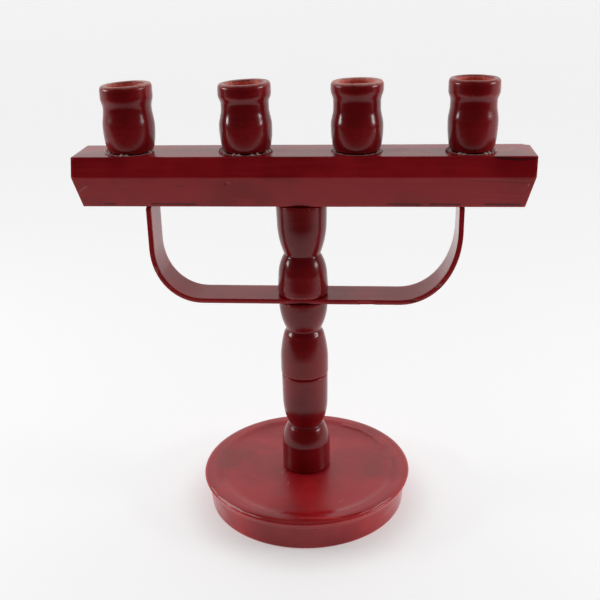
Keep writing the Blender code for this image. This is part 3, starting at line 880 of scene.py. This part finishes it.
def bar(material, chip_material):
    """The crossbar, with softened arrises and a few chips knocked out of them."""
    low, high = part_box("crossbar")
    size = high - low
    block = bmesh.new()
    bmesh.ops.create_cube(block, size=1.0)
    bmesh.ops.scale(block, vec=size, verts=block.verts)
    bmesh.ops.translate(block, vec=(0.0, 0.0, size.z / 2), verts=block.verts)
    bisect(block, (0.0, 0.0, size.z - BAR_BAND), (0.0, 0.0, 1.0))
    for vertex in block.verts:
        if vertex.co.z < BAR_EASE:
            vertex.co.x -= math.copysign(BAR_END_SLANT, vertex.co.x)
            vertex.co.y -= math.copysign(BAR_SIDE_SLANT, vertex.co.y)
    bmesh.ops.bevel(block, geom=block.edges[:], offset=BAR_EASE, segments=3, profile=0.5, affect="EDGES")
    for axis, step in enumerate(BAR_FACETS):
        slice_across(block, axis, step)
    mesh = bpy.data.meshes.new("bar")
    block.to_mesh(mesh)
    block.free()
    mesh.shade_smooth()

    half = size / 2
    points = coordinates(mesh)
    rise = np.clip((points[:, 2] - size.z + BAR_BAND) / BAR_BAND, 0.0, 1.0)
    near = np.clip(1 - (half.x + points[:, 0]) / LEFT_END_REACH, 0.0, 1.0)
    points[:, 0] += near * (LEFT_END_CUT + LEFT_END_LEAN * rise)
    set_coordinates(mesh, points)
    piece = new_object("bar", mesh, (0.0, 0.0, low.z))
    wear_down(piece, *BAR_WEAR, seed=71)
    mesh.materials.append(material)
    knock_chips(piece, chip_material, seed=80, chips=[
        ((half.x - 0.0005, half.y - 0.0005, size.z), (0.0036, 0.0026, 0.0018)),
        ((-0.0445, -half.y + 0.0008, size.z - BAR_BAND - 0.0035), (0.0006, 0.0005, 0.0013)),
        ((half.x - 0.0035, -half.y + 0.0010, size.z - BAR_BAND - 0.0070), (0.0012, 0.0006, 0.0016)),
    ])
    return finish_piece(piece, "crossbar", "upper_half")


def knock_chips(piece, material, seed, chips):
    """Knock chips out of a piece, each given by its middle and its reach along the three axes."""
    for number, (centre, reach) in enumerate(chips):
        chip(piece, centre, reach, seed + number, material)


def chip(piece, centre, reach, seed, material):
    """Knock out one ragged chip, whose faces show the given material."""
    ball = bmesh.new()
    bmesh.ops.create_icosphere(ball, subdivisions=3, radius=1.0)
    for vertex in ball.verts:
        bump = noise.noise(vertex.co * 1.7 + Vector((seed, 0.0, 0.0)))
        vertex.co = Vector(a * b for a, b in zip(vertex.co * (1 + 0.35 * bump), reach))
    mesh = bpy.data.meshes.new("chip")
    ball.to_mesh(mesh)
    ball.free()
    mesh.materials.append(material)
    cutter = new_object("chip_cutter", mesh, Vector(centre) + piece.location)
    modifier = piece.modifiers.new("Chip", "BOOLEAN")
    modifier.operation = "DIFFERENCE"
    modifier.object = cutter
    modifier.material_mode = "TRANSFER"
    bpy.context.view_layer.update()
    graph = bpy.context.evaluated_depsgraph_get()
    result = bpy.data.meshes.new_from_object(piece.evaluated_get(graph))
    piece.modifiers.clear()
    piece.data = result
    bpy.data.objects.remove(cutter)


BRACE_THICKNESS = 0.0033
BRACE_EASE = 0.0005
BRACE_STEP = 0.0016
BRACE_SIDE_STEPS = 12
BEND_RUNS = (0.0315, 0.0375)
BEND_RISES = (0.0350, 0.0470)
BEND_FULLNESS = 2.1
BEND_STEPS = 48
TONGUE_WIDTH = 0.0180
SHOULDER_GAP = 0.0003


def brace_route():
    """Centre line of the brace as (x, z), from tip to tip, and the height of its shoulders."""
    low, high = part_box("brace_strip")
    level = low.z + BRACE_THICKNESS / 2
    reach = (high.x - low.x - BRACE_THICKNESS) / 2
    middle = (high.x + low.x) / 2
    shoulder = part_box("crossbar")[0].z - SHOULDER_GAP
    power = 2 / BEND_FULLNESS
    halves = []
    for side, run, rise in zip((-1, 1), BEND_RUNS, BEND_RISES):
        corner = middle + side * (reach - run)
        half = [(0.0, level), (corner, level)]
        for i in range(1, BEND_STEPS + 1):
            angle = math.pi / 2 * i / BEND_STEPS
            out = run * math.sin(angle) ** power
            up = rise * (1 - max(0.0, math.cos(angle)) ** power)
            half.append((corner + side * out, level + up))
        half += [(middle + side * reach, shoulder), (middle + side * reach, high.z)]
        halves.append(half)
    left, right = halves
    return left[:0:-1] + right, shoulder


def brace(material, chip_material):
    """The bent strip as a swept ribbon with softened edges and a few chips along them."""
    low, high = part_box("brace_strip")
    width = high.y - low.y
    points, shoulder = brace_route()
    line = resample(points, BRACE_STEP)
    tangent = np.gradient(line, axis=0)
    tangent /= np.hypot(*tangent.T)[:, None]
    side = np.column_stack([-tangent[:, 1], tangent[:, 0]])
    section = rounded_section(width)
    tongue = rounded_section(TONGUE_WIDTH)
    rings = []
    for (x, z), (nx, nz) in zip(line, side):
        shape = tongue if z > shoulder else section
        rings.append([(x + nx * t, y, z + nz * t) for y, t in shape])
    count = len(section)
    verts = [point for ring in rings for point in ring]
    faces = []
    for ring in range(len(rings) - 1):
        for i in range(count):
            j = (i + 1) % count
            a = ring * count
            b = a + count
            faces.append((a + i, a + j, b + j, b + i))
    faces.append(tuple(range(count))[::-1])
    faces.append(tuple(range(len(verts) - count, len(verts))))
    mesh = new_mesh("bent_brace", verts, faces)
    ribbon = bmesh.new()
    ribbon.from_mesh(mesh)
    bmesh.ops.recalc_face_normals(ribbon, faces=ribbon.faces)
    ribbon.to_mesh(mesh)
    ribbon.free()
    piece = new_object("bent_brace", mesh)
    wear_down(piece, *BRACE_WEAR, seed=91)
    mesh.materials.append(material)
    knock_chips(piece, chip_material, seed=95, chips=[
        ((0.0862, -width / 2, 0.1612), (0.0022, 0.0006, 0.0012)),
        ((0.0700, -width / 2, 0.1516), (0.0030, 0.0007, 0.0009)),
        ((0.0420, -width / 2, 0.1482), (0.0060, 0.0010, 0.0007)),
        ((-0.0930, -width / 2, 0.1690), (0.0007, 0.0005, 0.0030)),
    ])
    return finish_piece(piece, "brace_strip", "upper_half")


def rounded_section(width):
    """Cross-section of the strip as (across, through) points, with rounded corners and divided sides."""
    points = []
    corners = ((1, 1, 0), (-1, 1, 90), (-1, -1, 180), (1, -1, 270))
    for across, through, start in corners:
        centre = (across * (width / 2 - BRACE_EASE), through * (BRACE_THICKNESS / 2 - BRACE_EASE))
        for i in range(4):
            angle = math.radians(start + 30 * i)
            across_by, through_by = BRACE_EASE * math.cos(angle), BRACE_EASE * math.sin(angle)
            points.append((centre[0] + across_by, centre[1] + through_by))
    closed = points + points[:1]
    full = []
    for (a, b), (c, d) in zip(closed, closed[1:]):
        parts = BRACE_SIDE_STEPS if math.hypot(c - a, d - b) > width / 2 else 1
        full.extend((a + (c - a) * i / parts, b + (d - b) * i / parts) for i in range(parts))
    return full


# Dried glue: the ring's radius as a share of its cup's, its least and its uneven width, how far it goes
# under the cup and into the bar, how steep it is, and over how many degrees a blob spreads to each side
GLUE_SHARE = 0.93
GLUE_FILM = 0.00002
GLUE_LUMPS = 0.00014
GLUE_INSIDE = 0.0006
GLUE_SUNK = 0.0001
GLUE_STEEPNESS = 1.3
BLOB_SPREAD = 4
GLUE_STEPS = 180


def glue_ring(name, centre, radius, blobs, material, body):
    """An uneven fillet of squeezed-out glue round a foot, with blobs at the given angles."""
    verts = []
    for i in range(GLUE_STEPS):
        angle = 2 * math.pi * i / GLUE_STEPS
        away = Vector((math.cos(angle), math.sin(angle), 0.0))
        uneven = noise.noise(away * 7 + Vector((0.0, 0.0, centre[0] * 900)))
        reach = GLUE_FILM + GLUE_LUMPS * max(0.0, uneven)
        for degrees, size in blobs:
            turn = (math.degrees(angle) - degrees + 180) % 360 - 180
            reach += size * (1 + 0.4 * uneven) * math.exp(-(turn / BLOB_SPREAD) ** 2)
        height = GLUE_FILM + GLUE_STEEPNESS * reach
        outline = ((-GLUE_INSIDE, -GLUE_SUNK), (reach, -GLUE_SUNK), (0.9 * reach, 0.4 * height),
                   (0.55 * reach, 0.8 * height), (0.0, height), (-GLUE_INSIDE, height))
        for out, up in outline:
            verts.append(Vector(centre) + away * (radius + out) + Vector((0.0, 0.0, up)))
    count = len(outline)
    faces = []
    for i in range(GLUE_STEPS):
        a = i * count
        b = (i + 1) % GLUE_STEPS * count
        faces.extend((a + j, b + j, b + (j + 1) % count, a + (j + 1) % count) for j in range(count))
    mesh = new_mesh(name, verts, faces)
    mesh.materials.append(material)
    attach(new_object(name, mesh), body)


# The studio

# The camera's place, as a turn from the holder's front, a distance from its axis and a height, and its
# aim, with angles in radians
CAMERA_TURN = 0.083
CAMERA_DISTANCE = 0.5471
CAMERA_HEIGHT = 0.3627
CAMERA_PITCH = 0.377
CAMERA_YAW = 0.087
CAMERA_ROLL = -0.022
FOCAL_PIXELS = 901.6
FRAME_PIXELS = 600
SENSOR_WIDTH = 36.0


def add_camera():
    """The camera at the photograph's place."""
    data = bpy.data.cameras.new("camera")
    data.sensor_width = SENSOR_WIDTH
    data.lens = FOCAL_PIXELS / FRAME_PIXELS * SENSOR_WIDTH
    data.clip_start = 0.01
    data.clip_end = 30.0
    camera = bpy.data.objects.new("camera", data)
    bpy.context.scene.collection.objects.link(camera)
    yaw, pitch, roll = CAMERA_YAW, CAMERA_PITCH, CAMERA_ROLL
    ahead = Vector((-math.sin(yaw) * math.cos(pitch), math.cos(yaw) * math.cos(pitch), -math.sin(pitch)))
    right = Vector((math.cos(yaw), math.sin(yaw), 0.0))
    up = right.cross(ahead)
    tilted_right = right * math.cos(roll) + up * math.sin(roll)
    tilted_up = up * math.cos(roll) - right * math.sin(roll)
    turned = Matrix((tilted_right, tilted_up, -ahead)).transposed()
    side, front = math.sin(CAMERA_TURN) * CAMERA_DISTANCE, -math.cos(CAMERA_TURN) * CAMERA_DISTANCE
    camera.matrix_world = Matrix.Translation((side, front, CAMERA_HEIGHT)) @ turned.to_4x4()
    bpy.context.scene.camera = camera


# Where the table ends in front and where the room's floor before it is fully dark, and that floor's tone
TABLE_FRONT = -0.20
ROOM_FLOOR = -0.54
ROOM_TONE = (0.06, 0.06, 0.06)

# The table's tone and light, where the shade painted into that light round the dish ends, its depth, and
# the backdrop's light
FLOOR_TONE = (0.60, 0.60, 0.606)
FLOOR_GLOW = 0.525
SHADE_REACH = 0.095
SHADE_DEPTH = 0.22
FLOOR_REACH = 9.0
FLOOR_DROP = 0.0001
BACKDROP = 0.93


def add_floor():
    """A plain pale floor, which grows dark in front of the table for all but the view itself, with
    painted shade round the dish.
    """
    corners = [(x * FLOOR_REACH, y * FLOOR_REACH, 0.0) for x, y in ((-1, -1), (1, -1), (1, 1), (-1, 1))]
    mesh = new_mesh("floor", corners, [(0, 1, 2, 3)])
    floor = new_object("floor", mesh, (0.0, 0.0, -FLOOR_DROP))
    material, tree, shader, place = new_material("pale_floor")
    shader.inputs["Base Color"].default_value = (*FLOOR_TONE, 1.0)
    shader.inputs["Roughness"].default_value = 0.55
    shader.inputs["Specular IOR Level"].default_value = 0.2
    depth = add_node(tree, "SeparateXYZ", {"Vector": place}).outputs["Y"]
    camera_ray = add_node(tree, "LightPath").outputs["Is Camera Ray"]
    beyond = window(tree, depth, TABLE_FRONT, ROOM_FLOOR)
    unseen = math_node(tree, "MULTIPLY", beyond, math_node(tree, "SUBTRACT", 1.0, camera_ray))
    dark = add_node(tree, "BsdfDiffuse", values={"Color": (*ROOM_TONE, 1.0)})
    mix = add_node(tree, "MixShader", {0: unseen, 1: shader.outputs[0], 2: dark.outputs[0]})
    away = add_node(tree, "VectorMath", {0: place}, operation="LENGTH").outputs["Value"]
    # Painted shade: the floor's glow is dimmed round the dish
    outside_painted_shade = window(tree, away, BASE_RADIUS, SHADE_REACH, 1.0 - SHADE_DEPTH, 1.0)
    strength = math_node(tree, "MULTIPLY", math_node(tree, "SUBTRACT", 1.0, unseen), FLOOR_GLOW)
    strength = math_node(tree, "MULTIPLY", strength, outside_painted_shade)
    glow = add_node(tree, "Emission", {"Strength": strength})
    lit = add_node(tree, "AddShader", {0: mix.outputs[0], 1: glow.outputs[0]})
    tree.links.new(lit.outputs[0], tree.nodes["Material Output"].inputs["Surface"])
    mesh.materials.append(material)


# Brightness of the room around the holder: for each height above the horizon, in degrees, the brightness
# right behind the holder and at the turns from there, to both sides, that TURNS gives
TURNS = (0, 45, 90, 130, 180)
ROOM = (
    (0, (0.70, 0.78, 0.50, 0.07, 0.04)),
    (20, (0.66, 0.88, 0.52, 0.04, 0.04)),
    (40, (1.26, 1.16, 0.59, 0.03, 0.03)),
    (60, (0.87, 0.80, 0.54, 0.17, 0.05)),
    (90, (0.47, 0.47, 0.47, 0.47, 0.47)),
)


def blend(tree, share, first, second):
    """Blend two numbers, each a socket or a value."""
    node = add_node(tree, "Mix", {"Factor": share})
    feed(tree, node.inputs["A"], first)
    feed(tree, node.inputs["B"], second)
    return node.outputs[0]


def stepped(tree, value, stops, levels):
    """A number that passes smoothly from level to level as the value passes the stops."""
    result = levels[0]
    for low, high, level in zip(stops, stops[1:], levels[1:]):
        result = blend(tree, window(tree, value, low, high), result, level)
    return result


def add_world():
    """A soft white studio above, beside and behind, and a dim room on the photographer's side."""
    world = bpy.data.worlds.new("studio")
    bpy.context.scene.world = world
    world.use_nodes = True
    tree = world.node_tree
    direction = add_node(tree, "TexCoord").outputs["Generated"]
    across, away, up = add_node(tree, "SeparateXYZ", {"Vector": direction}).outputs
    sideways = math_node(tree, "ABSOLUTE", across)
    turn = math_node(tree, "DEGREES", math_node(tree, "ARCTAN2", sideways, away))
    height = math_node(tree, "DEGREES", math_node(tree, "ARCSINE", up))
    heights = [row[0] for row in ROOM]
    rows = [stepped(tree, turn, TURNS, levels) for _, levels in ROOM]
    glow = stepped(tree, height, heights, rows)
    camera_ray = add_node(tree, "LightPath").outputs["Is Camera Ray"]
    background = tree.nodes["Background"]
    tree.links.new(blend(tree, camera_ray, glow, BACKDROP), background.inputs["Strength"])
    background.inputs["Color"].default_value = (1.0, 1.0, 1.0, 1.0)


# Soft boxes: name, place, width and height, and power of each, and the point that they face
LAMPS = (
    ("left_box", (-0.92, -0.06, 0.40), (0.34, 0.10), 2.1),
    ("right_box", (0.92, -0.10, 0.40), (0.34, 0.10), 2.1),
)
LAMP_AIM = Vector((0.0, 0.0, 0.25))


def add_lamp(name, place, size, power):
    """A soft lamp aimed at the holder."""
    data = bpy.data.lights.new(name, "AREA")
    data.shape = "RECTANGLE"
    data.size, data.size_y = size
    data.energy = power
    lamp = bpy.data.objects.new(name, data)
    bpy.context.scene.collection.objects.link(lamp)
    lamp.location = place
    lamp.rotation_euler = (LAMP_AIM - Vector(place)).to_track_quat("-Z", "Y").to_euler()


# How brush streaks run: round a turned piece, along a straight one, or neither
ROUND_STREAKS = (0.4, 0.4, 4.0)
LONG_STREAKS = (0.4, 5.0, 5.0)
EVEN_STREAKS = (1.0, 1.0, 1.0)


def build():
    """The whole scene."""
    bar_low, bar_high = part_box("crossbar")
    bar_place = (0.0, 0.0, bar_low.z)
    # The tints set how light each part's paint is; besides the paint's tone they carry painted light and
    # shade
    stem_paint = paint("stem_paint", 0.92, ROUND_STREAKS, (0.16, 0.23))
    dish_paint = paint("dish_paint", 1.9, EVEN_STREAKS, (0.13, 0.18), marks=DISH_MARKS, contrast=0.5,
                       index=1.45)
    bar_paint = paint("bar_paint", 1.7, LONG_STREAKS, (0.12, 0.20), bar_place, bar_marks())
    strip_paint = paint("strip_paint", 1.40, LONG_STREAKS, (0.07, 0.12))
    cup_paint = paint("cup_paint", 1.12, ROUND_STREAKS, (0.16, 0.23), wear=1.2)
    bore_wood = raw_wood("bore_wood", (0.95, 0.300, 0.240), (0.80, 0.150, 0.110), (40.0, 40.0, 5.0))
    chip_wood = raw_wood("chip_wood", PAINT_WORN, (0.16, 0.012, 0.012))
    dowel_wood = raw_wood("dowel_wood", BARE_WOOD, (0.36, 0.20, 0.10), (50.0, 50.0, 4.0))
    glue = dried_glue("dried_glue")

    dish(dish_paint)
    bottom_of_post(stem_paint)
    middle_of_post(stem_paint)
    top_of_post(stem_paint)
    bar(bar_paint, chip_wood)
    brace(strip_paint, chip_wood)
    for number, (*shape, blobs) in enumerate(CUPS, start=1):
        piece = cup(number, shape, cup_paint, bore_wood)
        low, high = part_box(f"candle_cup_{number}")
        foot = (high.x - low.x) / 2 * GLUE_SHARE
        place = (piece.location.x, 0.0, bar_high.z)
        glue_ring(f"glue_at_cup_{number}", place, foot, blobs, glue, "upper_half")
    for name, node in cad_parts.items():
        if "dowel" in name or "peg" in name:
            node.data.materials.clear()
            node.data.materials.append(dowel_wood)

    add_camera()
    add_floor()
    add_world()
    for name, place, size, power in LAMPS:
        add_lamp(name, place, size, power)
    bpy.context.scene.view_settings.view_transform = "Standard"


build()
